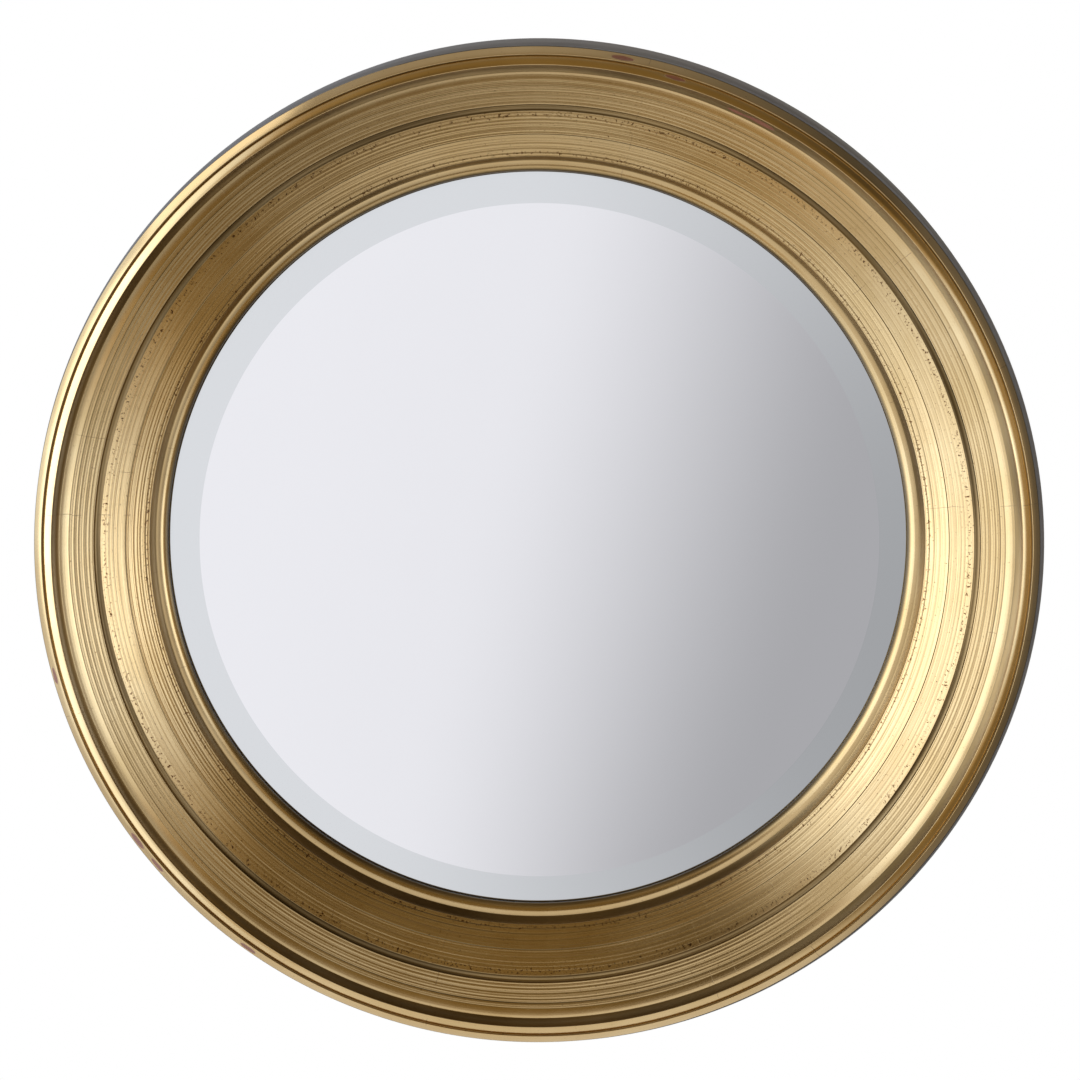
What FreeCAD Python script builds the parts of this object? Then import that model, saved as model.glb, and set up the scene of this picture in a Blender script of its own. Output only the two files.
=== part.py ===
import FreeCAD, Part
import math
import os

# A round convex mirror in a turned, gilded frame, hung on a wall.
# Millimetres. +Z is up, the face looks towards -Y, and the wall is the plane y = 0.
# The origin lies on the wall, behind the middle of the frame.
# Most pieces are turned, so they are drawn as (radius, depth) outlines, where depth is counted
# backwards from the plane that the front outline is drawn on, and are spun about the Y axis.

# ---- driving dimensions --------------------------------------------------------------------

# The whole frame
FRAME_DEPTH = 62.0          # drawing plane of the front to the back of the frame
BUMPER_THICK = 6.0          # felt discs between the frame and the wall
GILT_RADIUS = 248.7         # outer edge of the gilding
SIDE_RADIUS = 250.0         # widest part of the painted side
SIGHT_RADIUS = 184.1        # edge of the frame round the visible glass
SIDE_OFF_CENTRE = (1.0, 0.3)    # the painted side was turned a little off the centre of the gilding

# Front moulding: where its members meet, as (radius, depth), from the outside inwards
GILT_EDGE = (GILT_RADIUS, 3.0)
QUIRK_OUTER = (244.9, -1.55)
QUIRK_FLOOR = (244.6, -0.6)
QUIRK_INNER = (244.2, -1.3)
ROLL_CREST = (239.9, -3.25)
BAND_OUTER = (236.3, 1.5)
BAND_INNER = (231.9, 3.1)
FIRST_SLOPE_END = (219.6, 7.6)
SECOND_SLOPE_START = (216.4, 9.2)
CRISP_LINE = (204.6, 15.0)
SECOND_SLOPE_END = (192.7, 22.3)
VALLEY = (190.1, 31.2)
SIGHT_BEAD_INNER = (SIGHT_RADIUS, 35.4)
OUTER_BEAD_RISE = 1.4
ROLL_RISE = 0.5
COVE_DROP = 0.5
BAND_RISE = 0.1
MIDDLE_GROOVE_DROP = 1.3
RISER_DROP = 0.9
SIGHT_BEAD_RISE = 2.0

# Cuts of the turning tool along the slopes: radius of each, from the outside inwards
BAND_CUTS = (231.5, 228.7)
FIRST_SLOPE_CUTS = (226.0, 223.2, 221.1)
SECOND_SLOPE_CUTS = (213.9, 212.1, 210.4, 207.7)
THIRD_SLOPE_CUTS = (202.7, 201.0, 197.2, 194.9, 193.6)
CUT_WIDTH = 0.5
CUT_DEPTH = 0.35

# Joint between the moulding and the frame behind it: glued steps
LIP_DEPTH = 36.0            # back of the gilded lip at the sight edge
SEAT_DEPTH = 39.35          # where the tongue of the moulding rests
SEAT_RADII = (196.0, 206.0, 228.0, 244.0)
SEAT_DEPTHS = (34.0, 18.0, 7.0)
GLUE_GAP = 0.1

# Frame behind the moulding
SEGMENTS = 8
FIRST_JOINT_DEG = 11.25     # joints lie between the blocks and the backboard screws
WIDEST_DEPTH = 11.0
SIDE_SWELL = 0.35           # how far the front of the side swells out
SIDE_MIDDLE = (249.3, 38.0)
SIDE_END = (247.6, 60.4)
BACK_RADIUS = 246.0
REBATE_RADIUS = 192.0

# Convex glass with a ground bevel
GLASS_RADIUS = 190.0
GLASS_THICK = 5.0
DOME_RADIUS = 650.0         # how strongly the glass is curved
DOME_TOP_DEPTH = 8.8        # crown of the glass
BEVEL_RADIUS = 169.4        # where the bevel starts
BEVEL_SLOPE = math.tan(math.radians(22.9))
EDGE_ARRIS = 0.4
GLASS_OFF_CENTRE = (0.9, -0.6)  # it sits low in its rebate, and a little to one side

# Felt strip, blocks and pins that hold the glass
FELT_THICK = 0.9
FELT_RADII = (184.6, 191.6)
BLOCKS = 8
BLOCK_WIDTH = 24.0
BLOCK_INNER = 180.5
BLOCK_OUTER = 191.95
BLOCK_FRONT_INNER = 40.3
BLOCK_FRONT_OUTER = 43.9
BLOCK_BACK = 57.6
PIN_DEPTH = 55.0
PIN_RADIUS = 0.7
PIN_HEAD_RADIUS = 1.5
PIN_HEAD_THICK = 0.8
PIN_END_RADIUS = 200.0
HOLE_PLAY = 0.05

# Backboard and its screws
BOARD_RADIUS = 204.0
BOARD_THICK = 4.0
BOARD_RECESS_RADIUS = 205.0
BOARD_SCREWS = 8
BOARD_SCREW_CIRCLE = 199.0
FIRST_SCREW_DEG = 22.5
BOARD_SCREW_LENGTH = 14.0
BOARD_HOLE_RADIUS = 2.1
SCREW_RADIUS = 1.75
SCREW_TIP = 3.0
SCREW_HEAD_RADIUS = 3.5
ROUND_HEAD_HIGH = 2.2
SLOT_WIDTH = 0.9
SLOT_DEPTH = 0.9
DOME_STEPS = 6
PILOT_SPARE = 0.5           # how much deeper a hole is than its screw or pin

# Hanging straps and rings
HANGER_X = 200.0
HANGER_Z = 114.0
STRAP_WIDTH = 14.0
STRAP_THICK = 1.2
STRAP_END = 38.0            # lower end of the strap below the axis of the ring
STRAP_SCREWS = (21.5, 31.5) # below the axis of the ring
STRAP_SCREW_LENGTH = 16.0
STRAP_HOLE_RADIUS = 2.05
WIRE_RADIUS = 1.25
WIRE_PLAY = 0.06
AXIS_HIGH = 2.8             # axis of the ring above the back of the frame
RING_HALF_WIDTH = 11.25
RING_CORNER = 2.5
RING_SIDE = 4.75            # straight side before the round end

# Felt discs against the wall
BUMPER_RADIUS = 8.0
BUMPER_PLACE = 160.0
BUMPER_ARRIS = 0.6

# ---- worked out from them ------------------------------------------------------------------

FRONT_TO_WALL = FRAME_DEPTH + BUMPER_THICK
BACK_Y = -BUMPER_THICK
BOARD_FRONT = FRAME_DEPTH - BOARD_THICK
ORIGIN = FreeCAD.Vector(0, 0, 0)
AXIS_X = FreeCAD.Vector(1, 0, 0)
AXIS_Y = FreeCAD.Vector(0, 1, 0)
AXIS_Z = FreeCAD.Vector(0, 0, 1)


# ---- drawing helpers -----------------------------------------------------------------------

def bulged(start, end, rise):
    """An arc from start to end that stands out by rise towards the viewer, or in if negative."""
    run = end[0] - start[0]
    drop = end[1] - start[1]
    length = math.hypot(run, drop)
    via = ((start[0] + end[0]) / 2 - rise * drop / length,
           (start[1] + end[1]) / 2 + rise * run / length)
    return (via, end)


def grooved(start, end, radii):
    """The points of a straight slope from start to end with a small V cut at each radius."""
    fall = (end[1] - start[1]) / (end[0] - start[0])
    points = []
    for radius in radii:
        for step, extra in ((CUT_WIDTH / 2, 0), (0, CUT_DEPTH), (-CUT_WIDTH / 2, 0)):
            r = radius + step
            points.append((r, start[1] + (r - start[0]) * fall + extra))
    points.append(end)
    return points


def outline(steps):
    """A closed face from (radius, depth) steps: a point is a line's end, a pair of points an arc."""
    here = steps[0]
    edges = []
    for step in steps[1:] + [steps[0]]:
        if isinstance(step[0], tuple):
            arc = Part.Arc(spot(here), spot(step[0]), spot(step[1]))
            edges.append(arc.toShape())
            here = step[1]
        else:
            edges.append(Part.makeLine(spot(here), spot(step)))
            here = step
    return Part.Face(Part.Wire(edges))


def spot(point):
    """A (radius, depth) point in space, in the half-plane that is spun."""
    return FreeCAD.Vector(point[0], point[1] - FRONT_TO_WALL, 0)


def turned(steps):
    """A full turn of an outline about the Y axis."""
    return outline(steps).revolve(ORIGIN, AXIS_Y, 360)


def round_the_clock(shape, degrees):
    """A copy of a shape that was made at twelve o'clock, turned clockwise as seen from the front."""
    copy = shape.copy()
    copy.rotate(ORIGIN, AXIS_Y, degrees)
    return copy


def one_solid(shape):
    """The single solid that a cut or a common leaves."""
    solids = shape.Solids
    if len(solids) != 1:
        raise ValueError("expected one solid, got %d" % len(solids))
    return solids[0]


def save(name, shape):
    """Write one sub-part and say how large it is."""
    shape.exportStep("parts/%s.step" % name)
    box = shape.BoundBox
    print("%-20s %7.1f x %6.1f x %6.1f mm, %d solid(s), valid %s"
          % (name, box.XLength, box.YLength, box.ZLength, len(shape.Solids), shape.isValid()))


# ---- the frame -----------------------------------------------------------------------------

def make_gilt_moulding():
    """The turned ring that carries the gilding, with the lip that the glass lies behind."""
    inner_seat, middle_seat, outer_seat, edge_seat = SEAT_RADII
    deep, middle, shallow = SEAT_DEPTHS
    steps = [GILT_EDGE]
    steps.append(bulged(GILT_EDGE, QUIRK_OUTER, OUTER_BEAD_RISE))
    steps += [QUIRK_FLOOR, QUIRK_INNER]
    steps.append(bulged(QUIRK_INNER, ROLL_CREST, ROLL_RISE))
    steps.append(bulged(ROLL_CREST, BAND_OUTER, -COVE_DROP))
    steps.append(bulged(BAND_OUTER, BAND_INNER, BAND_RISE))
    steps += grooved(BAND_INNER, FIRST_SLOPE_END, BAND_CUTS + FIRST_SLOPE_CUTS)
    steps.append(bulged(FIRST_SLOPE_END, SECOND_SLOPE_START, -MIDDLE_GROOVE_DROP))
    steps += grooved(SECOND_SLOPE_START, CRISP_LINE, SECOND_SLOPE_CUTS)
    steps.append((CRISP_LINE[0] - CUT_WIDTH / 2, CRISP_LINE[1] + CUT_DEPTH + CUT_WIDTH / 4))
    third_start = (CRISP_LINE[0] - CUT_WIDTH, CRISP_LINE[1] + CUT_WIDTH / 4)
    steps.append(third_start)
    steps += grooved(third_start, SECOND_SLOPE_END, THIRD_SLOPE_CUTS)
    steps.append(bulged(SECOND_SLOPE_END, VALLEY, -RISER_DROP))
    steps.append(bulged(VALLEY, SIGHT_BEAD_INNER, SIGHT_BEAD_RISE))
    steps += [
        (SIGHT_RADIUS, LIP_DEPTH),
        (REBATE_RADIUS, SEAT_DEPTH),
        (inner_seat, SEAT_DEPTH),
        (inner_seat, deep),
        (middle_seat, deep),
        (middle_seat, middle),
        (outer_seat, middle),
        (outer_seat, shallow),
        (edge_seat, shallow),
    ]
    return turned(steps)


def make_frame_ring():
    """The whole ring behind the moulding, before it is parted into segments."""
    widest = (SIDE_RADIUS, WIDEST_DEPTH)
    side_front = (GILT_EDGE[0], GILT_EDGE[1])
    blank = turned([
        (0, side_front[1]),
        side_front,
        bulged(side_front, widest, -SIDE_SWELL),
        (SIDE_MIDDLE, SIDE_END),
        (BACK_RADIUS, FRAME_DEPTH),
        (0, FRAME_DEPTH),
    ])
    blank.translate(FreeCAD.Vector(SIDE_OFF_CENTRE[0], 0, SIDE_OFF_CENTRE[1]))
    inner_seat, middle_seat, outer_seat, edge_seat = [r + GLUE_GAP for r in SEAT_RADII]
    deep, middle, shallow = SEAT_DEPTHS
    edge_fall = (shallow - GILT_EDGE[1]) / (SEAT_RADII[3] - GILT_RADIUS)
    beyond = SIDE_RADIUS + 4.0
    opening = turned([
        (0, shallow + (beyond - edge_seat) * edge_fall),
        (beyond, shallow + (beyond - edge_seat) * edge_fall),
        (edge_seat, shallow),
        (outer_seat, shallow),
        (outer_seat, middle),
        (middle_seat, middle),
        (middle_seat, deep),
        (inner_seat, deep),
        (inner_seat, SEAT_DEPTH),
        (REBATE_RADIUS, SEAT_DEPTH),
        (REBATE_RADIUS, BOARD_FRONT),
        (BOARD_RECESS_RADIUS, BOARD_FRONT),
        (BOARD_RECESS_RADIUS, FRAME_DEPTH + 1),
        (0, FRAME_DEPTH + 1),
    ])
    return one_solid(blank.cut(opening))


def make_wedge(first_deg, last_deg):
    """A wedge about the Y axis that parts one segment from the ring."""
    reach = 2 * SIDE_RADIUS
    corners = [ORIGIN]
    for degrees in (first_deg, last_deg):
        angle = math.radians(degrees)
        corners.append(FreeCAD.Vector(reach * math.sin(angle), 0, reach * math.cos(angle)))
    face = Part.Face(Part.makePolygon(corners + [ORIGIN]))
    face.translate(FreeCAD.Vector(0, 1, 0))
    return face.extrude(FreeCAD.Vector(0, -FRONT_TO_WALL - 10, 0))


def drill(x, z, radius, deep_y):
    """A hole from the back of the frame forwards to deep_y."""
    start = FreeCAD.Vector(x, deep_y, z)
    return Part.makeCylinder(radius, 1 - deep_y, start, AXIS_Y)


def clock_place(radius, degrees):
    """x and z at a clock angle, clockwise from twelve as seen from the front."""
    angle = math.radians(degrees)
    return radius * math.sin(angle), radius * math.cos(angle)


def make_frame_segments():
    """The eight glued segments, with the holes that the screws and pins bite into."""
    ring = make_frame_ring()
    holes = []
    for number in range(BOARD_SCREWS):
        x, z = clock_place(BOARD_SCREW_CIRCLE, FIRST_SCREW_DEG + number * 360 / BOARD_SCREWS)
        holes.append(drill(x, z, SCREW_RADIUS + HOLE_PLAY,
                           BACK_Y - BOARD_SCREW_LENGTH - PILOT_SPARE))
    for side in (-1, 1):
        for below in STRAP_SCREWS:
            deep = BACK_Y + STRAP_THICK - STRAP_SCREW_LENGTH - PILOT_SPARE
            holes.append(drill(side * HANGER_X, HANGER_Z - below, SCREW_RADIUS + HOLE_PLAY, deep))
    for number in range(BLOCKS):
        holes.append(round_the_clock(make_pin_hole(), number * 360 / BLOCKS))
    ring = ring.cut(holes)
    step = 360 / SEGMENTS
    segments = []
    for number in range(SEGMENTS):
        first = FIRST_JOINT_DEG + number * step
        segments.append(one_solid(ring.common(make_wedge(first, first + step))))
    return segments


# ---- the glass and what holds it -----------------------------------------------------------

def dome_depth(radius, sphere_radius):
    """Depth of a sphere about the centre of the dome, at a radius from the axis."""
    centre = DOME_TOP_DEPTH + DOME_RADIUS
    return centre - math.sqrt(sphere_radius ** 2 - radius ** 2)


def make_mirror_glass():
    """Curved glass of even thickness, with a flat bevel ground round its front."""
    back_sphere = DOME_RADIUS - GLASS_THICK
    bevel_start = (BEVEL_RADIUS, dome_depth(BEVEL_RADIUS, DOME_RADIUS))
    bevel_end_radius = GLASS_RADIUS - EDGE_ARRIS
    bevel_end = (bevel_end_radius,
                 bevel_start[1] + (bevel_end_radius - BEVEL_RADIUS) * BEVEL_SLOPE)
    edge_front = (GLASS_RADIUS, bevel_end[1] + EDGE_ARRIS)
    edge_back = (GLASS_RADIUS, dome_depth(GLASS_RADIUS, back_sphere))
    half = BEVEL_RADIUS / 2
    front_via = (half, dome_depth(half, DOME_RADIUS))
    back_via = (half, dome_depth(half, back_sphere))
    glass = turned([
        (0, DOME_TOP_DEPTH),
        (front_via, bevel_start),
        bevel_end,
        edge_front,
        edge_back,
        (back_via, (0, dome_depth(0, back_sphere))),
    ])
    glass.translate(FreeCAD.Vector(GLASS_OFF_CENTRE[0], 0, GLASS_OFF_CENTRE[1]))
    return glass


def make_rebate_felt():
    """A strip of felt glued to the sloping back of the lip, where the bevel rests."""
    inner, outer = FELT_RADII
    slope = (SEAT_DEPTH - LIP_DEPTH) / (REBATE_RADIUS - SIGHT_RADIUS)
    start = LIP_DEPTH + (inner - SIGHT_RADIUS) * slope
    end = LIP_DEPTH + (outer - SIGHT_RADIUS) * slope
    return turned([
        (inner, start),
        (outer, end),
        (outer, end + FELT_THICK),
        (inner, start + FELT_THICK),
    ])


def make_pin_hole():
    """The hole for one pin, at twelve o'clock, pointing outwards."""
    start = FreeCAD.Vector(0, PIN_DEPTH - FRONT_TO_WALL, BLOCK_INNER - 1)
    length = PIN_END_RADIUS + PILOT_SPARE - start.z
    return Part.makeCylinder(PIN_RADIUS + HOLE_PLAY, length, start, AXIS_Z)


def make_glazing_block():
    """One block at twelve o'clock: a wedge that follows the slope of the glass behind its rim."""
    section = [
        (BLOCK_INNER, BLOCK_FRONT_INNER),
        (BLOCK_OUTER, BLOCK_FRONT_OUTER),
        (BLOCK_OUTER, BLOCK_BACK),
        (BLOCK_INNER, BLOCK_BACK),
    ]
    corners = [FreeCAD.Vector(-BLOCK_WIDTH / 2, d - FRONT_TO_WALL, r) for r, d in section]
    block = Part.Face(Part.makePolygon(corners + [corners[0]]))
    block = block.extrude(FreeCAD.Vector(BLOCK_WIDTH, 0, 0))
    rebate = Part.makeCylinder(BLOCK_OUTER, FRONT_TO_WALL,
                               FreeCAD.Vector(0, -FRONT_TO_WALL, 0), AXIS_Y)
    return one_solid(block.common(rebate).cut(make_pin_hole()))


def make_block_pins():
    """Headed pins, one through each block into the wall of the rebate."""
    start = FreeCAD.Vector(0, PIN_DEPTH - FRONT_TO_WALL, BLOCK_INNER)
    tip = 2 * PIN_RADIUS
    shank = Part.makeCylinder(PIN_RADIUS, PIN_END_RADIUS - tip - BLOCK_INNER, start, AXIS_Z)
    point = Part.makeCone(PIN_RADIUS, 0.15, tip,
                          FreeCAD.Vector(0, start.y, PIN_END_RADIUS - tip), AXIS_Z)
    head_start = FreeCAD.Vector(0, start.y, BLOCK_INNER - PIN_HEAD_THICK)
    head = Part.makeCylinder(PIN_HEAD_RADIUS, PIN_HEAD_THICK, head_start, AXIS_Z)
    pin = one_solid(shank.fuse([point, head]).removeSplitter())
    return Part.makeCompound([round_the_clock(pin, n * 360 / BLOCKS) for n in range(BLOCKS)])


# ---- the back ------------------------------------------------------------------------------

def make_backboard():
    """A flat round board let into the back of the frame."""
    board = turned([
        (0, BOARD_FRONT),
        (BOARD_RADIUS, BOARD_FRONT),
        (BOARD_RADIUS, FRAME_DEPTH),
        (0, FRAME_DEPTH),
    ])
    holes = []
    for number in range(BOARD_SCREWS):
        x, z = clock_place(BOARD_SCREW_CIRCLE, FIRST_SCREW_DEG + number * 360 / BOARD_SCREWS)
        holes.append(drill(x, z, BOARD_HOLE_RADIUS, -FRONT_TO_WALL))
    return one_solid(board.cut(holes))


def round_head_screw(length, turn_deg):
    """A slotted screw with a domed head; the underside of the head lies at y = 0."""
    points = [(0, -length), (SCREW_RADIUS, SCREW_TIP - length), (SCREW_RADIUS, 0)]
    for number in range(DOME_STEPS):
        angle = math.pi / 2 * number / DOME_STEPS
        points.append((SCREW_HEAD_RADIUS * math.cos(angle), ROUND_HEAD_HIGH * math.sin(angle)))
    points.append((0, ROUND_HEAD_HIGH))
    corners = [FreeCAD.Vector(r, y, 0) for r, y in points]
    screw = Part.Face(Part.makePolygon(corners + [corners[0]])).revolve(ORIGIN, AXIS_Y, 360)
    wide = 3 * SCREW_HEAD_RADIUS
    slot = Part.makeBox(wide, ROUND_HEAD_HIGH, SLOT_WIDTH,
                        FreeCAD.Vector(-wide / 2, ROUND_HEAD_HIGH - SLOT_DEPTH, -SLOT_WIDTH / 2))
    slot.rotate(ORIGIN, AXIS_Y, turn_deg)
    return one_solid(screw.cut(slot))


def make_backboard_screws():
    """Round-headed screws round the edge of the board, no two slots alike."""
    screws = []
    for number in range(BOARD_SCREWS):
        x, z = clock_place(BOARD_SCREW_CIRCLE, FIRST_SCREW_DEG + number * 360 / BOARD_SCREWS)
        screw = round_head_screw(BOARD_SCREW_LENGTH, 37 * number)
        screw.translate(FreeCAD.Vector(x, BACK_Y, z))
        screws.append(screw)
    return Part.makeCompound(screws)


# ---- the hangers ---------------------------------------------------------------------------

def make_hanger_strap(x):
    """A steel strap screwed to the frame, with a knuckle round the straight leg of the ring."""
    half = STRAP_WIDTH / 2
    end_centre = STRAP_END - half
    low = FreeCAD.Vector(x - half, BACK_Y, HANGER_Z - end_centre)
    plate = Part.makeBox(STRAP_WIDTH, STRAP_THICK, end_centre, low)
    end_place = FreeCAD.Vector(x, BACK_Y, HANGER_Z - end_centre)
    rounded_end = Part.makeCylinder(half, STRAP_THICK, end_place, AXIS_Y)
    knuckle_start = FreeCAD.Vector(x - half, BACK_Y + AXIS_HIGH, HANGER_Z)
    bore_radius = WIRE_RADIUS + WIRE_PLAY
    knuckle = Part.makeCylinder(bore_radius + STRAP_THICK, STRAP_WIDTH, knuckle_start, AXIS_X)
    bore = Part.makeCylinder(bore_radius, STRAP_WIDTH + 2,
                             knuckle_start - FreeCAD.Vector(1, 0, 0), AXIS_X)
    strap = plate.fuse([rounded_end, knuckle]).cut(bore)
    for below in STRAP_SCREWS:
        strap = strap.cut(drill(x, HANGER_Z - below, STRAP_HOLE_RADIUS, BACK_Y - 1))
    return one_solid(strap.removeSplitter())


def make_d_ring(x):
    """The hanging ring: a wire bent to a D, hanging straight down from its straight leg."""
    y = BACK_Y + AXIS_HIGH
    half = RING_HALF_WIDTH
    corner = RING_CORNER
    leg = Part.makeCylinder(WIRE_RADIUS, 2 * (half - corner),
                            FreeCAD.Vector(x - half + corner, y, HANGER_Z), AXIS_X)
    side_length = RING_SIDE - corner
    pieces = [leg]
    for side in (-1, 1):
        centre = FreeCAD.Vector(x + side * (half - corner), y, HANGER_Z - corner)
        ring = Part.makeTorus(corner, WIRE_RADIUS, centre, AXIS_Y)
        quarter = Part.makeBox(2 * corner, 2 * corner, 2 * corner,
                               centre - FreeCAD.Vector(0 if side > 0 else 2 * corner, corner, 0))
        pieces.append(ring.common(quarter))
        side_start = FreeCAD.Vector(x + side * half, y, HANGER_Z - corner - side_length)
        pieces.append(Part.makeCylinder(WIRE_RADIUS, side_length, side_start, AXIS_Z))
    crown = FreeCAD.Vector(x, y, HANGER_Z - RING_SIDE)
    ring = Part.makeTorus(half, WIRE_RADIUS, crown, AXIS_Y)
    lower = Part.makeBox(4 * half, 4 * WIRE_RADIUS, 2 * half,
                         crown - FreeCAD.Vector(2 * half, 2 * WIRE_RADIUS, 2 * half))
    pieces.append(ring.common(lower))
    return one_solid(pieces[0].fuse(pieces[1:]).removeSplitter())


def make_hanger_screws():
    """Round-headed screws, two in each strap."""
    screws = []
    for side in (-1, 1):
        for below in STRAP_SCREWS:
            screw = round_head_screw(STRAP_SCREW_LENGTH, side * 3 * below)
            screw.translate(FreeCAD.Vector(side * HANGER_X, BACK_Y + STRAP_THICK, HANGER_Z - below))
            screws.append(screw)
    return Part.makeCompound(screws)


def make_wall_bumper(x, z):
    """A felt disc glued to the back, with its outer edge eased."""
    disc = Part.makeCylinder(BUMPER_RADIUS, BUMPER_THICK, FreeCAD.Vector(x, BACK_Y, z), AXIS_Y)
    rim = [e for e in disc.Edges if abs(e.BoundBox.YMin) < 1e-6 and abs(e.BoundBox.YMax) < 1e-6]
    return disc.makeChamfer(BUMPER_ARRIS, rim)


# ---- build ---------------------------------------------------------------------------------

def main():
    os.makedirs("parts", exist_ok=True)
    save("gilt_moulding", make_gilt_moulding())
    for number, segment in enumerate(make_frame_segments(), 1):
        save("frame_segment_%d" % number, segment)
    save("mirror_glass", make_mirror_glass())
    save("rebate_felt", make_rebate_felt())
    block = make_glazing_block()
    for number in range(BLOCKS):
        save("glazing_block_%d" % (number + 1), round_the_clock(block, number * 360 / BLOCKS))
    save("block_pins", make_block_pins())
    save("backboard", make_backboard())
    save("backboard_screws", make_backboard_screws())
    for side_name, side in (("left", -1), ("right", 1)):
        save("hanger_strap_" + side_name, make_hanger_strap(side * HANGER_X))
        save("d_ring_" + side_name, make_d_ring(side * HANGER_X))
    save("hanger_screws", make_hanger_screws())
    places = ((-1, 1), (1, 1), (1, -1), (-1, -1))
    for number, (across, up) in enumerate(places, 1):
        bumper = make_wall_bumper(across * BUMPER_PLACE, up * BUMPER_PLACE)
        save("wall_bumper_%d" % number, bumper)


main()
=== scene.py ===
# %% [markdown]
# # A convex mirror in a turned, gilded frame
# The solids of the mirror come from a CAD model: a gilded moulding, the painted frame behind it in
# eight glued segments, the bent glass, and the small things that hold it all. This script dresses
# them. It loads the solids, sets up the camera and a plain studio, spins a finer moulding and a
# finer glass in their places, and gives every piece a finish made of shader nodes.
# Everything is in metres. +Z is up, the face looks towards -Y, and the wall is the plane y = 0.

# %% Load the solids
import math
import random

import bmesh
import bpy
from mathutils import Matrix, Vector, noise


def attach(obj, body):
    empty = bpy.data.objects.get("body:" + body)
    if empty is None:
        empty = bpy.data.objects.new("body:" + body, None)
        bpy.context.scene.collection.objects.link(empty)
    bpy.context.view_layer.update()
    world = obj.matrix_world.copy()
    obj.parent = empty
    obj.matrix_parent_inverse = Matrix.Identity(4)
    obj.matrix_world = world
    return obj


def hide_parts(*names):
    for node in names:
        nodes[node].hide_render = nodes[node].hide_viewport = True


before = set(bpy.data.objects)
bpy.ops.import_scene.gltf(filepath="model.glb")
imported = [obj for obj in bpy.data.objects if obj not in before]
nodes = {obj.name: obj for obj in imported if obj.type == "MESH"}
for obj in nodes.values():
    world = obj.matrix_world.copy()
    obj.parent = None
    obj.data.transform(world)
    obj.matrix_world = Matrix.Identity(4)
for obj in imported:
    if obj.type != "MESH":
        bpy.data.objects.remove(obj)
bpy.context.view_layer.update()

# %% [markdown]
# ## The camera
# The photograph was taken with a long lens from about four metres, a little above the middle of
# the mirror: the inner rings of the moulding sit higher in the picture than its outer edge, and
# a thin strip of the painted side shows along the top. An empty target is not needed: the camera
# is put on a line from the point it looks at, and turned to look back along that line.

# %% Camera
MM = 0.001
FRONT_PLANE = -68 * MM        # the plane that the outlines of the front are drawn on
CAMERA_DISTANCE = 4.0
CAMERA_AZIMUTH = math.radians(0.6)
CAMERA_ELEVATION = math.radians(8.0)
CAMERA_LENS = 270.0
LOOK_AT = Vector((1.58 * MM, FRONT_PLANE, 4.58 * MM))


def direction(azimuth, elevation):
    """The way to a point seen from the mirror: azimuth to the right of the front, elevation up."""
    flat = math.cos(elevation)
    return Vector((math.sin(azimuth) * flat, -math.cos(azimuth) * flat, math.sin(elevation)))


camera_data = bpy.data.cameras.new("camera")
camera_data.lens = CAMERA_LENS
camera_data.sensor_width = 36
camera_data.clip_end = 200
camera = bpy.data.objects.new("camera", camera_data)
bpy.context.scene.collection.objects.link(camera)
towards_camera = direction(CAMERA_AZIMUTH, CAMERA_ELEVATION)
camera.location = LOOK_AT + towards_camera * CAMERA_DISTANCE
camera.rotation_euler = towards_camera.to_track_quat("Z", "Y").to_euler()
bpy.context.scene.camera = camera
bpy.context.scene.view_settings.view_transform = "Standard"
print("camera at", [round(c, 3) for c in camera.location])

# %% [markdown]
# ## Shader sums as plain Python
# A finish is a sum of small patterns. Written as separate nodes it is hard to read, so one small
# class wraps a socket: plus, minus and times on it add Math nodes, and `node` adds any other node.

# %% The Wire class


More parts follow.
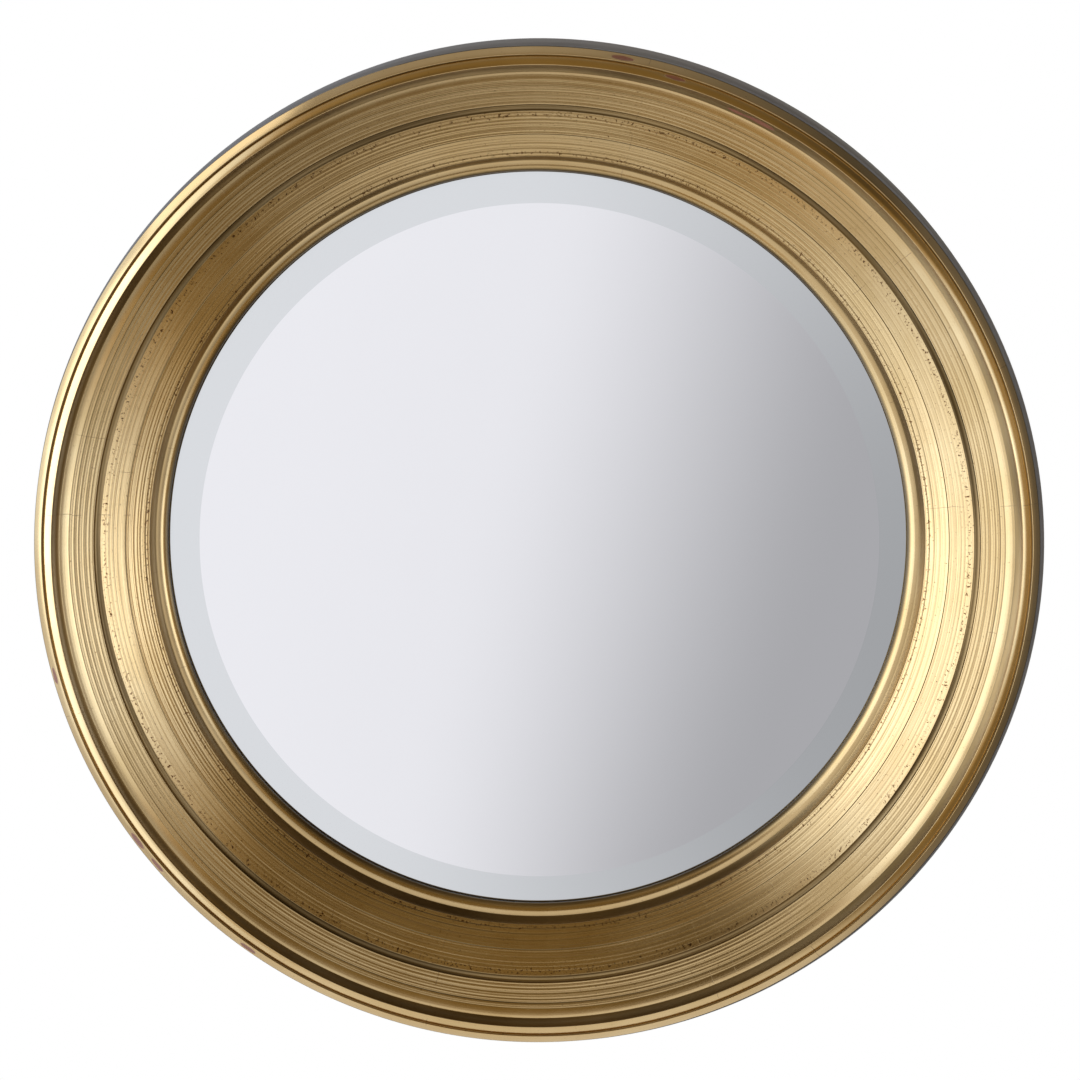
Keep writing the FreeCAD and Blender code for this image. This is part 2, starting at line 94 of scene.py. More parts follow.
class Wire:
    """A socket of a node tree. Arithmetic on it adds Math nodes to the tree."""

    def __init__(self, tree, socket=None):
        self.tree = tree
        self.socket = socket

    def node(self, kind, settings=None, values=None, output=0):
        """Add a node: its settings first, then the values or links of its sockets."""
        made = self.tree.nodes.new(kind)
        for name, value in (settings or {}).items():
            if name == "stops":
                ramp = made.color_ramp
                while len(ramp.elements) < len(value):
                    ramp.elements.new(1.0)
                for element, (place, colour) in zip(ramp.elements, value):
                    element.position = place
                    element.color = colour
            else:
                setattr(made, name, value)
        for key, value in (values or {}).items():
            if isinstance(value, Wire):
                self.tree.links.new(value.socket, made.inputs[key])
            else:
                made.inputs[key].default_value = value
        return Wire(self.tree, made.outputs[output] if made.outputs else None)

    def math(self, operation, *terms):
        return self.node("ShaderNodeMath", {"operation": operation}, dict(enumerate(terms)))

    def __add__(self, other):
        return self.math("ADD", self, other)

    __radd__ = __add__

    def __sub__(self, other):
        return self.math("SUBTRACT", self, other)

    def __rsub__(self, other):
        return self.math("SUBTRACT", other, self)

    def __mul__(self, other):
        return self.math("MULTIPLY", self, other)

    __rmul__ = __mul__

    def __truediv__(self, other):
        return self.math("DIVIDE", self, other)

    def __pow__(self, other):
        return self.math("POWER", self, other)

    def __abs__(self):
        return self.math("ABSOLUTE", self)

    def low(self, other):
        return self.math("MINIMUM", self, other)

    def high(self, other):
        return self.math("MAXIMUM", self, other)

    def sine(self):
        return self.math("SINE", self)

    def degrees_up(self):
        """The angle whose sine this value is, in degrees."""
        return self.math("ARCSINE", self) * math.degrees(1)

    def degrees_off(self):
        """The angle whose cosine this value is, in degrees."""
        return self.math("ARCCOSINE", self) * math.degrees(1)

    def turn(self, forward):
        """The angle in radians of a direction with this value sideways and another forward."""
        return self.math("ARCTAN2", self, forward)

    def rise(self, start, end):
        """0 below start, 1 above end, and a smooth climb between them. Start may be the larger."""
        values = {"Value": self, "From Min": start, "From Max": end}
        return self.node("ShaderNodeMapRange", {"interpolation_type": "SMOOTHSTEP"}, values)

    def colours(self, *stops):
        """A colour for each value, from stops of (value, colour)."""
        return self.node("ShaderNodeValToRGB", {"stops": stops}, {"Fac": self})

    def blend(self, low, high):
        """The colour low where this value is 0, high where it is 1."""
        values = {"Factor": self, 6: low, 7: high}
        return self.node("ShaderNodeMix", {"data_type": "RGBA"}, values, output=2)

    def parts(self):
        """The three numbers of a vector."""
        split = self.tree.nodes.new("ShaderNodeSeparateXYZ")
        self.tree.links.new(self.socket, split.inputs[0])
        return [Wire(self.tree, out) for out in split.outputs]

    def noise(self, scale, detail=2.0, roughness=0.5):
        """Soft random values about 0.5 at the places that this vector gives."""
        values = {"Vector": self, "Scale": scale, "Detail": detail, "Roughness": roughness}
        return self.node("ShaderNodeTexNoise", None, values)


def vector(x, y, z):
    """A vector from three values, of which at least one is a Wire."""
    source = next(value for value in (x, y, z) if isinstance(value, Wire))
    return source.node("ShaderNodeCombineXYZ", None, {0: x, 1: y, 2: z})


def rgb(red, green, blue):
    return (red, green, blue, 1)


def new_material(name):
    """An empty material: its tree's first Wire, and the place on the object as x, y, z."""
    material = bpy.data.materials.new(name)
    material.use_nodes = True
    material.node_tree.nodes.clear()
    start = Wire(material.node_tree)
    place = start.node("ShaderNodeTexCoord", output=3)
    return material, start, place


def finish_material(material, start, shader_values, height=None, height_scale=0.0):
    """Add the Principled shader, a Bump node if there is a height, and the output."""
    values = dict(shader_values)
    if height is not None:
        bump = {"Height": height, "Distance": height_scale, "Strength": 1.0}
        values["Normal"] = start.node("ShaderNodeBump", None, bump)
    shader = start.node("ShaderNodeBsdfPrincipled", None, values)
    start.node("ShaderNodeOutputMaterial", None, {"Surface": shader})
    return material


print("shader helpers ready")

# %% [markdown]
# ## The studio round the mirror
# A mirror and a gilded frame show little of their own colour. They show the room, so the room is
# read back from them. The glass shows what lies in front: white on the left, greyer on the right.
# The slopes of the moulding lean inwards and show a ring round that, with bright panels on the left
# and the right. The roll and the outer bead lean outwards and show the sides of the room, where
# only the left is bright. Each ring is a list of lights by clock angle, for someone who faces the
# mirror: 0 is up and 90 is the right. The dim places are warmer, as in a room with wood in it.
#
# All this is one smooth picture, worked out from the way a ray leaves. An image could do the same,
# but sums are sharp at any size.

# %% Rings of light
FRONT_WHITE = rgb(0.985, 0.98, 1.005)
BOX_WHITE = rgb(0.90, 0.98, 1.14)
WARM_DIM = rgb(1.0, 0.70, 0.28)
BRIGHTEST = 2.5
NEAR_RING = [
    # clock angle in degrees, and how bright the room is there
    (0, 0.26), (40, 0.17), (54, 0.45), (64, 1.3), (80, 1.9), (98, 1.7), (113, 0.9), (127, 0.32),
    (150, 0.14), (165, 0.17), (190, 0.20), (212, 0.46), (225, 0.95), (240, 1.4), (262, 2.0),
    (288, 2.3), (306, 2.0), (313, 1.2), (321, 0.20), (332, 0.08), (360, 0.26),
]
FAR_RING = [
    (0, 0.25), (30, 0.18), (45, 0.08), (60, 0.22), (75, 0.45), (92, 0.45), (105, 0.32),
    (120, 0.24), (138, 0.24), (165, 0.40), (195, 0.60), (225, 1.6), (242, 2.0), (262, 2.4),
    (300, 2.4), (315, 1.6), (328, 0.35), (342, 0.26), (360, 0.25),
]
SIDE_RING = [
    (0, 0.45), (30, 0.18), (45, 0.09), (60, 0.18), (90, 0.16), (120, 0.14), (150, 0.33),
    (180, 0.62), (210, 0.65), (240, 0.82), (255, 0.95), (270, 1.25), (285, 1.30), (300, 1.10),
    (315, 0.70), (330, 0.38), (345, 0.46), (360, 0.45),
]
BEHIND_LIGHT = 0.50
print("three rings of", len(NEAR_RING), len(FAR_RING), "and", len(SIDE_RING), "lights")

# %% [markdown]
# The way of a ray gives two angles. How far it points off the middle of the room picks the part:
# in front, one of the three rings, or the plain half-light behind. The clock angle then picks the
# place on the ring. In front there is no ring: the light falls off from the left to the right, in
# two soft shades.

# %% The light along a ray
ROOM_TILT = -8.0              # degrees: the middle of the room is a little below straight ahead
SLANT = 0.28                  # how much the shades lean, degrees sideways for each degree up

# How bright the left is, then each shade: how much darker, and between which degrees sideways
FRONT_LIGHT = 0.89
RIGHT_SHADE = (0.43, -9, 29)
SOFT_SHADE = (0.04, -34, 6)

# Where one part of the room passes into the next, in degrees off its middle
FRONT_TO_NEAR = (33, 35.5)
NEAR_TO_FAR = (58, 68)
FAR_TO_SIDE = (80, 98)
SIDE_TO_BEHIND = (108, 135)
WARMTH_FADES = (70, 95)
DIM_LIGHT = (1.2, 0.3)        # light that is not warm at all, and light that is fully warm


def towards(value, goal, share):
    """Value where share is 0, goal where it is 1."""
    return value + (goal - value) * share


def room_light(x, y, z):
    """How bright the room is along a ray with the parts x, y, z, and its colour."""
    azimuth = x.turn(0 - y) * math.degrees(1)
    slanted = azimuth - SLANT * (z.degrees_up() - ROOM_TILT)
    front = FRONT_LIGHT
    for drop, start, end in (RIGHT_SHADE, SOFT_SHADE):
        front = front - drop * slanted.rise(start, end)

    tilt = math.radians(ROOM_TILT)
    ahead = math.sin(tilt) * z - math.cos(tilt) * y
    upward = math.sin(tilt) * y + math.cos(tilt) * z
    off_middle = ahead.degrees_off()
    clock = (0 - x).turn(0 - upward) / math.tau + 0.5
    near, far, side = [
        clock.colours(*[(angle / 360, rgb(*[light / BRIGHTEST] * 3)) for angle, light in ring])
        for ring in (NEAR_RING, FAR_RING, SIDE_RING)]
    beside = towards(near, far, off_middle.rise(*NEAR_TO_FAR))
    beside = towards(beside, side, off_middle.rise(*FAR_TO_SIDE)) * BRIGHTEST
    ringed = off_middle.rise(*FRONT_TO_NEAR)
    light = towards(front, beside, ringed)
    light = towards(light, BEHIND_LIGHT, off_middle.rise(*SIDE_TO_BEHIND))

    white = ringed.blend(FRONT_WHITE, BOX_WHITE)
    warmth = ringed * (1 - 0.6 * off_middle.rise(*WARMTH_FADES))
    return light, (warmth * beside.rise(*DIM_LIGHT)).blend(white, WARM_DIM)


print("front", FRONT_LIGHT, "and the rings at their brightest",
      max(light for ring in (NEAR_RING, FAR_RING, SIDE_RING) for angle, light in ring))

# %% [markdown]
# The world shows this room to the shiny surfaces. Matt surfaces get a little less of it, which
# keeps the wood calm. The camera itself sees plain white.

# %% World
SOFT_SHARE = 0.9              # the part of the room's light that matt surfaces get
world = bpy.data.worlds.new("studio")
bpy.context.scene.world = world
world.use_nodes = True
world.node_tree.nodes.clear()
sky = Wire(world.node_tree)
ray = sky.node("ShaderNodeTexCoord", output=0)
brightness, room = room_light(*ray.parts())
seen_light = sky.node("ShaderNodeBackground", None, {"Color": room, "Strength": brightness})
soft_light = sky.node("ShaderNodeBackground", None,
                      {"Color": room, "Strength": brightness * SOFT_SHARE})
white = sky.node("ShaderNodeBackground", None, {"Color": rgb(1, 1, 1), "Strength": 1.0})


def ray_kinds(start):
    """Whether a ray comes from the camera, and whether from a shiny or through a clear surface."""
    is_camera, is_glossy, is_through = [start.node("ShaderNodeLightPath", output=kind)
                                        for kind in (0, 3, 6)]
    return is_camera, is_glossy.high(is_through)


is_camera, seen = ray_kinds(sky)
off_camera = sky.node("ShaderNodeMixShader", None, {0: seen, 1: soft_light, 2: seen_light})
whole = sky.node("ShaderNodeMixShader", None, {0: is_camera, 1: off_camera, 2: white})
sky.node("ShaderNodeOutputWorld", None, {"Surface": whole})
print("world set with", len(world.node_tree.nodes), "nodes")

# %% [markdown]
# Lamps give what a smooth world cannot: small shadows in the grooves and under the bead round the
# glass. Three rectangular softboxes stand well to the sides, where the glass does not show them:
# a large one on the left, a small one on the right, and one high up on the left.

# %% Lamps


def softbox(name, azimuth, elevation, distance, width, height, radiance):
    """A rectangular lamp that faces the mirror and has a given brightness where it is seen."""
    data = bpy.data.lights.new(name, "AREA")
    data.shape = "RECTANGLE"
    data.size = width
    data.size_y = height
    data.energy = radiance * math.pi * width * height
    lamp = bpy.data.objects.new(name, data)
    bpy.context.scene.collection.objects.link(lamp)
    way = direction(math.radians(azimuth), math.radians(elevation))
    lamp.location = way * distance
    lamp.rotation_euler = way.to_track_quat("Z", "Y").to_euler()
    print("lamp", name, "radiance", radiance, "power", round(data.energy, 1))


for lamp in (
        # name, azimuth and elevation in degrees, distance, width, height, radiance
        ("left_softbox", -74, 6, 2.4, 1.7, 2.0, 0.7),
        ("right_softbox", 50, -4, 2.6, 0.7, 0.9, 0.8),
        ("high_softbox", -100, 45, 2.4, 1.0, 1.0, 1.0)):
    softbox(*lamp)

# %% [markdown]
# The floor is a pale disc well below the mirror, as under a picture on a wall. It glows a little
# where it is seen, so it stays as pale as the white round it. It fades out at its rim, so no edge
# shows, and it is clear from below, so a view from under it still shows the mirror.

# %% Floor
FLOOR_HEIGHT = -1.5
FLOOR_RADIUS = 1.7
FADE = (FLOOR_RADIUS * 0.98, FLOOR_RADIUS * 0.4)      # clear outside the first, whole in the second
FLOOR_GLOW = 0.55
floor_mesh = bmesh.new()
bmesh.ops.create_circle(floor_mesh, cap_ends=True, segments=96, radius=FLOOR_RADIUS)
floor_data = bpy.data.meshes.new("floor")
floor_mesh.to_mesh(floor_data)
floor_mesh.free()
floor = bpy.data.objects.new("floor", floor_data)
floor.location.z = FLOOR_HEIGHT
bpy.context.scene.collection.objects.link(floor)

floor_material, start, place = new_material("pale_floor")
x, y, z = place.parts()
inside = ((x * x + y * y) ** 0.5).rise(*FADE)
speckle = place.noise(60.0, 4.0)
pale = speckle.blend(rgb(0.74, 0.74, 0.735), rgb(0.80, 0.80, 0.795))
matt = start.node("ShaderNodeBsdfDiffuse", None, {"Color": pale})
glow = start.node("ShaderNodeEmission", None, {"Color": pale, "Strength": FLOOR_GLOW})
lit = start.node("ShaderNodeAddShader", None, {0: matt, 1: glow})
is_camera, seen = ray_kinds(start)
shown = is_camera.high(seen)
surface = start.node("ShaderNodeMixShader", None, {0: shown, 1: matt, 2: lit})
from_below = start.node("ShaderNodeNewGeometry", output=6)
clear = start.node("ShaderNodeBsdfTransparent")
faded = start.node("ShaderNodeMixShader", None,
                   {0: inside * (1 - from_below), 1: clear, 2: surface})
start.node("ShaderNodeOutputMaterial", None, {"Surface": faded})
floor_data.materials.append(floor_material)
print("floor disc of radius", FLOOR_RADIUS, "at", FLOOR_HEIGHT)

# %% [markdown]
# ## The outline of the gilded moulding
# The real moulding was turned: a scraper and combs were held against the spinning ring, so every
# mark runs in a circle. It could be drawn as a curve with a bevel, but a spun outline lets each
# mark be a real groove. The outline is a chain of members, from the outer edge inwards. Each has
# the radius and depth of its inner end, how far it bulges towards the viewer (or in, if negative),
# how often its edge is cut, how deep the combs scratched it, and how much soil and painted shade
# it holds: a darker colour that stands for wax and for the shade in the grooves. Radii and depths
# are in millimetres.

# %% Members of the moulding
OUTER_EDGE = (248.7, 3.0)
MEMBERS = [
    # name, end radius, end depth, bulge, cuts, comb depth, soil and painted shade
    ("outer bead", 244.9, -1.2, 0.15, 11, 0.004, 0.10),
    ("quirk wall", 244.6, 0.2, 0.0, 2, 0.0, 0.75),
    ("quirk wall", 244.2, -0.3, 0.0, 2, 0.0, 0.50),
    ("roll", 239.9, -3.25, 0.22, 17, 0.004, 0.05),
    ("cove", 236.3, 1.5, -0.5, 17, 0.006, 0.90),
    ("band", 231.9, 3.1, 0.1, 14, 0.008, 0.08),
    ("first slope", 219.6, 7.6, 0.0, 45, 0.020, 0.25),
    ("middle groove", 216.4, 9.2, -1.3, 9, 0.011, 0.88),
    ("second slope", 204.6, 15.0, 0.0, 46, 0.027, 0.20),
    ("crisp line", 204.35, 15.475, 0.0, 0, 0.0, 1.0),
    ("crisp line", 204.1, 15.125, 0.0, 0, 0.0, 0.8),
    ("third slope", 192.7, 22.3, 0.0, 46, 0.027, 0.25),
    ("riser", 190.1, 31.2, -0.9, 16, 0.011, 0.85),
    ("sight bead", 184.1, 35.4, 1.4, 18, 0.008, 0.22),
    ("sight wall", 184.1, 36.0, 0.0, 1, 0.0, 0.85),
]
BACK = [(192.0, 39.35), (196.0, 39.35), (196.0, 34.0), (206.0, 34.0), (206.0, 18.0),
        (228.0, 18.0), (228.0, 7.0), (244.0, 7.0)]
TOOL_CUTS = [
    # radius, and how much dirt and painted shade darken the cut
    (231.8, 0.8), (229.1, 0.9), (227.1, 0.35), (224.4, 0.4), (222.1, 0.3), (212.2, 0.3),
    (210.4, 0.2), (208.0, 0.4), (205.5, 0.2), (202.7, 0.15), (199.9, 0.45), (197.0, 0.6),
    (194.6, 0.8), (193.2, 0.4),
]
CUT_HALF_WIDTH = 0.42
CUT_DEPTH = 0.10


def on_arc(start, end, bulge, share):
    """A point of a circular arc from start to end, share 0 to 1, in the (radius, depth) plane."""
    run, drop = end[0] - start[0], end[1] - start[1]
    chord = math.hypot(run, drop)
    along, out = share * chord, 0.0
    if bulge:
        radius = (chord * chord / 4 + bulge * bulge) / (2 * abs(bulge))
        half_angle = 2 * math.atan(2 * abs(bulge) / chord)
        angle = half_angle * (2 * share - 1)
        along = chord / 2 + radius * math.sin(angle)
        out = math.copysign(radius * math.cos(angle) - (radius - abs(bulge)), bulge)
    return (start[0] + (along * run - out * drop) / chord,
            start[1] + (along * drop + out * run) / chord)


print(len(MEMBERS), "members,", len(TOOL_CUTS), "tool cuts")

# %% [markdown]
# The tools left two kinds of marks: cuts at the radii listed above, and the scratches of the comb,
# which lie anywhere on the slopes. The smooth members have neither, and are only a little rough.
# A deep mark is also painted darker, for the wax and dust that stay in it and as painted shade
# down in the mark.

# %% Marks of the tools
LEAST_COMB = 0.012            # members scratched less deep than this are smooth ones
FULL_COMB = 0.03              # comb depth at which the finish shows its streaks in full
LINE_SHARE, ROUGH_SHARE = 1.6, 0.35     # how much of a scratch is line, and how much is rough
DIRT_AND_SHADE_PER_DEPTH = 1.5
rng = random.Random(11)


def comb_lines(outer, inner):
    """Scratches of the comb between two radii: (radius, half width, strength)."""
    lines, radius = [], outer - 0.3
    while radius > inner + 0.3:
        pressed = 2.4 if rng.random() > 0.72 else 1.0
        half_width = rng.uniform(0.14, 0.3)
        lines.append((radius, half_width, rng.uniform(0.5, 1.0) * pressed))
        radius -= rng.uniform(0.5, 1.5)
    return lines


COMBED = comb_lines(231.9, 192.7)


def tool_mark(radius, comb_depth):
    """How deep the tools cut at a radius, in millimetres, and how much dirt is held there."""
    if comb_depth < LEAST_COMB:
        return comb_depth * rng.random(), 0.0
    # Dirt and painted shade: cuts and scratches are darkened for the wax in them and for their
    # shade.
    nearest, dirt_and_shade = min((abs(radius - cut), dirt_and_shade) for cut, dirt_and_shade in TOOL_CUTS)
    if nearest < CUT_HALF_WIDTH:
        depth = CUT_DEPTH * (1 - 0.5 * nearest / CUT_HALF_WIDTH)
        return depth, dirt_and_shade * max(0.0, 1 - nearest / CUT_HALF_WIDTH)
    deepest = max(strength * max(0.0, 1 - abs(radius - line) / (2 * half_width))
                  for line, half_width, strength in COMBED)
    depth = comb_depth * (deepest * LINE_SHARE + ROUGH_SHARE * rng.random())
    return depth, depth * DIRT_AND_SHADE_PER_DEPTH


print(len(COMBED), "scratches")

# %% [markdown]
# A member starts as one straight edge between two vertices. `bisect_edges` cuts it up, and each
# new vertex is then moved to its place on the arc and pushed in where a tool marked it. Two layers
# of the mesh keep what the finish asks for later: how dark a place is painted, for its dirt and as
# painted shade in grooves, and how much it is combed.

# %% Draw the outline
# Soil and painted shade: a darker colour on the leaf, for wax and for the shade in grooves.
EDGE_SOIL_AND_SHADE, BACK_SOIL_AND_SHADE = 0.1, 0.6
ring = bmesh.new()
soil_and_shade_layer = ring.verts.layers.float.new("soil")
comb_layer = ring.verts.layers.float.new("comb")


def outline_vertex(radius, depth, soil):
    """Add a vertex to the outline. Returns its number, which stays true when edges are cut up."""
    vertex = ring.verts.new((radius * MM, FRONT_PLANE + depth * MM, 0))
    vertex[soil_and_shade_layer] = soil
    ring.verts.ensure_lookup_table()
    return len(ring.verts) - 1


def draw_member(first, start, member):
    """Cut up one member's edge and shape it. Returns the number of the vertex it ends at."""
    _, end_radius, end_depth, bulge, cuts, comb_depth, soil = member
    end = (end_radius, end_depth)
    combed = min(1.0, comb_depth / FULL_COMB)
    last = outline_vertex(*end, soil)
    edge = ring.edges.new((ring.verts[first], ring.verts[last]))
    if cuts:
        bmesh.ops.bisect_edges(ring, edges=[edge], cuts=cuts)
    ring.verts.ensure_lookup_table()
    origin = ring.verts[first].co.copy()
    line = ring.verts[last].co - origin
    run, drop = end[0] - start[0], end[1] - start[1]
    chord = math.hypot(run, drop)
    for vertex in sorted(ring.verts[last + 1:], key=lambda v: (v.co - origin).dot(line)):
        share = (vertex.co - origin).dot(line) / line.length_squared
        radius, depth = on_arc(start, end, bulge, share)
        mark, dirt_and_shade = tool_mark(radius, comb_depth)
        radius += mark * drop / chord
        depth += mark * -run / chord
        vertex.co = Vector((radius * MM, FRONT_PLANE + depth * MM, 0))
        # Soil and painted shade of the member, plus the dirt and painted shade of the tool mark.
        vertex[soil_and_shade_layer] = min(1.0, soil + dirt_and_shade)
        vertex[comb_layer] = combed
    ring.verts[last][comb_layer] = combed
    return last


end, here = outline_vertex(*OUTER_EDGE, EDGE_SOIL_AND_SHADE), OUTER_EDGE
for member in MEMBERS:
    end = draw_member(end, here, member)
    here = (member[1], member[2])
for corner in BACK:
    following = outline_vertex(*corner, BACK_SOIL_AND_SHADE)
    ring.edges.new((ring.verts[end], ring.verts[following]))
    end = following
ring.edges.new((ring.verts[end], ring.verts[0]))
print("outline of", len(ring.verts), "vertices")

# %% [markdown]
# A full turn of the closed outline gives a closed ring. One `spin` of hundreds of steps is slow,
# because each step looks through all that was made before. So an eighth of the turn is spun, and
# then doubled three times, and the seams are merged.

# %% Turn an outline
EIGHTH = math.pi / 4
SEAM = 0.001 * MM             # vertices closer than this become one


def full_turn(shape, steps):
    """Spin all of a bmesh once round the Y axis, in a number of steps that eight divides."""
    bmesh.ops.spin(shape, geom=shape.verts[:] + shape.edges[:], cent=(0, 0, 0), axis=(0, 1, 0),
                   angle=EIGHTH, steps=steps // 8)
    for eighths in (1, 2, 4):
        whole = shape.verts[:] + shape.edges[:] + shape.faces[:]
        copy = bmesh.ops.duplicate(shape, geom=whole)["geom"]
        bmesh.ops.rotate(shape, verts=[g for g in copy if isinstance(g, bmesh.types.BMVert)],
                         cent=(0, 0, 0), matrix=Matrix.Rotation(eighths * EIGHTH, 3, "Y"))
    bmesh.ops.remove_doubles(shape, verts=shape.verts, dist=SEAM)


# %% [markdown]
# The combs were held by hand, so each scratch swells and fades round the circle: noise that is
# stretched along the circle moves the vertices by a few hundredths of a millimetre. A second, slow
# noise gives the surface the faint waves of gesso that was laid on by brush. Both only push
# inwards, so the moulding gets no larger.

# %% Spin the moulding
MOULDING_STEPS = 400
full_turn(ring, MOULDING_STEPS)
bmesh.ops.recalc_face_normals(ring, faces=ring.faces)
ring.normal_update()
STREAK = 0.025 * MM
WAVE = 0.06 * MM


def ring_noise(turn_x, turn_z, radius, along, across):
    """Noise stretched along the ring: slow round it, and faster across it."""
    return noise.noise(Vector((turn_x * along, turn_z * along, radius / MM * across)))


for vertex in ring.verts:
    reach = math.hypot(vertex.co.x, vertex.co.z)
    turn_x, turn_z = vertex.co.x / reach, vertex.co.z / reach
    streak = ring_noise(turn_x, turn_z, reach, 3.1, 1.9)
    slow = ring_noise(turn_x, turn_z, reach, 2.0, 0.08)
    inward = STREAK * vertex[comb_layer] * (streak + 0.35) + WAVE * (slow + 0.5)
    vertex.co -= vertex.normal * max(0.0, inward)
print("moulding of", len(ring.faces), "faces")

# %% [markdown]
# Old gilding gets knocked. The worst places are small nicks along the edge and the roll. Each is
# a shallow dent, longer round the circle than across it. A layer keeps where they are, because the
# finish lets the red clay show there.

# %% Nicks
NICKS = [
    # clock angle in degrees, then radius, half length, half width and depth in millimetres
    (9.8, 246.6, 5.0, 1.0, 0.35),
    (16.2, 243.0, 4.5, 0.9, 0.40),
    (27.5, 237.9, 7.0, 0.9, 0.55),
    (24.3, 237.6, 4.0, 0.7, 0.35),
    (215.6, 247.2, 4.5, 1.0, 0.35),
    (229.8, 246.9, 4.2, 1.0, 0.45),
    (233.5, 247.0, 5.0, 1.2, 0.50),
    (254.9, 247.3, 4.0, 0.9, 0.35),
]
NICK_REACH = 1.4              # a nick fades out at this many times its half length and half width
CHIP_GAIN = 1.8               # the clay shows this many times as strongly as the dent goes deep
FRONT_DEPTH = 5 * MM          # nicks reach no farther back than this from the front plane
chip_layer = ring.verts.layers.float.new("chip")
front_edge = [v for v in ring.verts if v.co.y < FRONT_PLANE + FRONT_DEPTH]
places = [(v, math.hypot(v.co.x, v.co.z) / MM, math.degrees(math.atan2(v.co.x, v.co.z)) % 360)
          for v in front_edge]
for angle, radius, half_length, half_width, depth in NICKS:
    for vertex, reach, clock in places:
        off = math.radians(clock - angle) * radius
        far = math.hypot(off / half_length, (reach - radius) / half_width)
        strength = max(0.0, 1 - far / NICK_REACH)
        if strength:
            vertex.co -= vertex.normal * depth * MM * strength
            vertex[chip_layer] = max(vertex[chip_layer], min(1.0, strength * CHIP_GAIN))
print(len(NICKS), "nicks")

# %% [markdown]
# The mesh becomes an object at the origin, neither turned nor scaled. It rides on the frame's body
# and stands for the plain solid of the moulding.

# %% Make the moulding an object


def add_piece(name, shape, body, *replaced, slot):
    """Turn a bmesh into a smooth object that rides on a body and stands for CAD solids."""
    data = bpy.data.meshes.new(name)
    for face in shape.faces:
        face.smooth = True
    shape.to_mesh(data)
    shape.free()
    piece = bpy.data.objects.new(name, data)
    bpy.context.scene.collection.objects.link(piece)
    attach(piece, body)
    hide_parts(*replaced)
    triangles = sum(len(polygon.vertices) - 2 for polygon in data.polygons)
    print(name, "has", triangles, "triangles")
    return piece


moulding = add_piece("turned_moulding", ring, "frame", "gilt_moulding", slot="gilding")

# %% [markdown]
# ## Gilding
# The leaf is thin metal over red clay and gesso, toned with a brown wax. Three things make it look
# old: fine circles from the turning, warm brown wax in the low places, which is also painted shade
# there, and small rubs, pits and cracks where the ground shows. The patterns that run round the
# ring are made from the radius and the direction from the centre. A texture wrapped on a flattened
# ring would do it too, but would show a seam.

# %% Patterns round the ring


class RingPlace:
    """A place on the moulding: its radius, its direction from the centre, and its clock angle."""

    def __init__(self, place):
        self.place = place
        x, self.y, z = place.parts()
        self.radius = (x * x + z * z) ** 0.5
        self.turn_x, self.turn_z = x / self.radius, z / self.radius
        self.across = self.radius / MM + self.y / MM * 0.6
        self.clock = x.turn(z)

    def noise(self, along, across, detail=2.0, roughness=0.5):
        """Noise stretched along the ring: it changes slowly round it, and fast across it."""
        spot = vector(self.turn_x * along, self.turn_z * along, self.across * across)
        return spot.noise(1.0, detail, roughness)


print("ring patterns ready")

# %% [markdown]
# Gesso shrinks as it ages, and cracks straight across the moulding. Each crack is a thin line along
# one clock angle. It wavers a little and shows only in places.

# %% Cracks in the gesso
CRACKS = (13.0, 44.9, 51.4, 68.5, 84.7, 100.6, 145.5, 155.0, 158.0, 193.0, 250.0, 274.0, 280.0,
          284.0, 319.0)
CRACK_HALF_WIDTH = 0.16 * MM
CRACK_CORE = 0.05 * MM


def cracked(ring_place):
    """1 in the cracks, 0 elsewhere."""
    crack = None
    waver = (ring_place.place.noise(90.0, 2.0) - 0.5) * 0.012
    for angle in CRACKS:
        turn = math.radians(angle if angle <= 180 else angle - 360)
        off = abs(ring_place.clock - turn + waver) * ring_place.radius
        line = off.rise(CRACK_HALF_WIDTH, CRACK_CORE)
        crack = line if crack is None else crack.high(line)
    return crack * ring_place.noise(9.0, 0.16).rise(0.47, 0.55)


print(len(CRACKS), "cracks")

# %% [markdown]
# Wax lies thick in the grooves, and its dark colour there is also painted shade. A thin dark line
# along the inner edge, on the sight bead and the wall below it, is painted shade of the sight wall
# and the lip. The combed leaf is worn in small pits, most of all in two rows: beside the middle
# groove, and at the foot of the third slope.

# %% Wax and pits
SHADED_INNER_EDGE = (187.4 * MM, 184.4 * MM)       # the painted shade of the inner edge darkens between these radii
SHADED_INNER_FRONT = (-31.5, -30.5)                # and stays in front of these depths, y in millimetres
PIT_ROWS = ((214.4, 2.6), (194.4, 2.2))     # radius and half width of each row of pits


def wax_and_shade_cover(ring_place, soil):
    """How much wax and painted shade darken the leaf, 0 to 1."""
    # Painted shade: a dark line along the inner edge, where the sight wall and the lip are shaded.
    shaded_inner_edge = ring_place.radius.rise(*SHADED_INNER_EDGE)
    shaded_inner_edge = shaded_inner_edge * (1 - (ring_place.y / MM).rise(*SHADED_INNER_FRONT))
    return ((soil + 0.8 * shaded_inner_edge) * (0.45 + ring_place.noise(1.6, 0.22))).low(1.0)


def pitted(ring_place, comb):
    """How much of the leaf is worn off in pits, 0 to 1."""
    first, second = [1 - abs(ring_place.radius / MM - radius) / half_width
                     for radius, half_width in PIT_ROWS]
    likely = ring_place.noise(190, 1.1, 3.0, 0.7) + 0.11 * first.high(second).high(0.0)
    return likely.rise(0.66, 0.70) * (0.25 + comb)


print(len(PIT_ROWS), "rows of pits")

# %% [markdown]
# The colours are laid over each other in the order in which it all happened: the leaf, the streaks
# of the comb, the wax with the painted shade of the grooves and the inner edge, and then what age
# did, the pits, the rubs down to the clay and the cracks. A thin clear coat lies on the clean leaf
# only, so the dirty and painted-shade places stay dull.

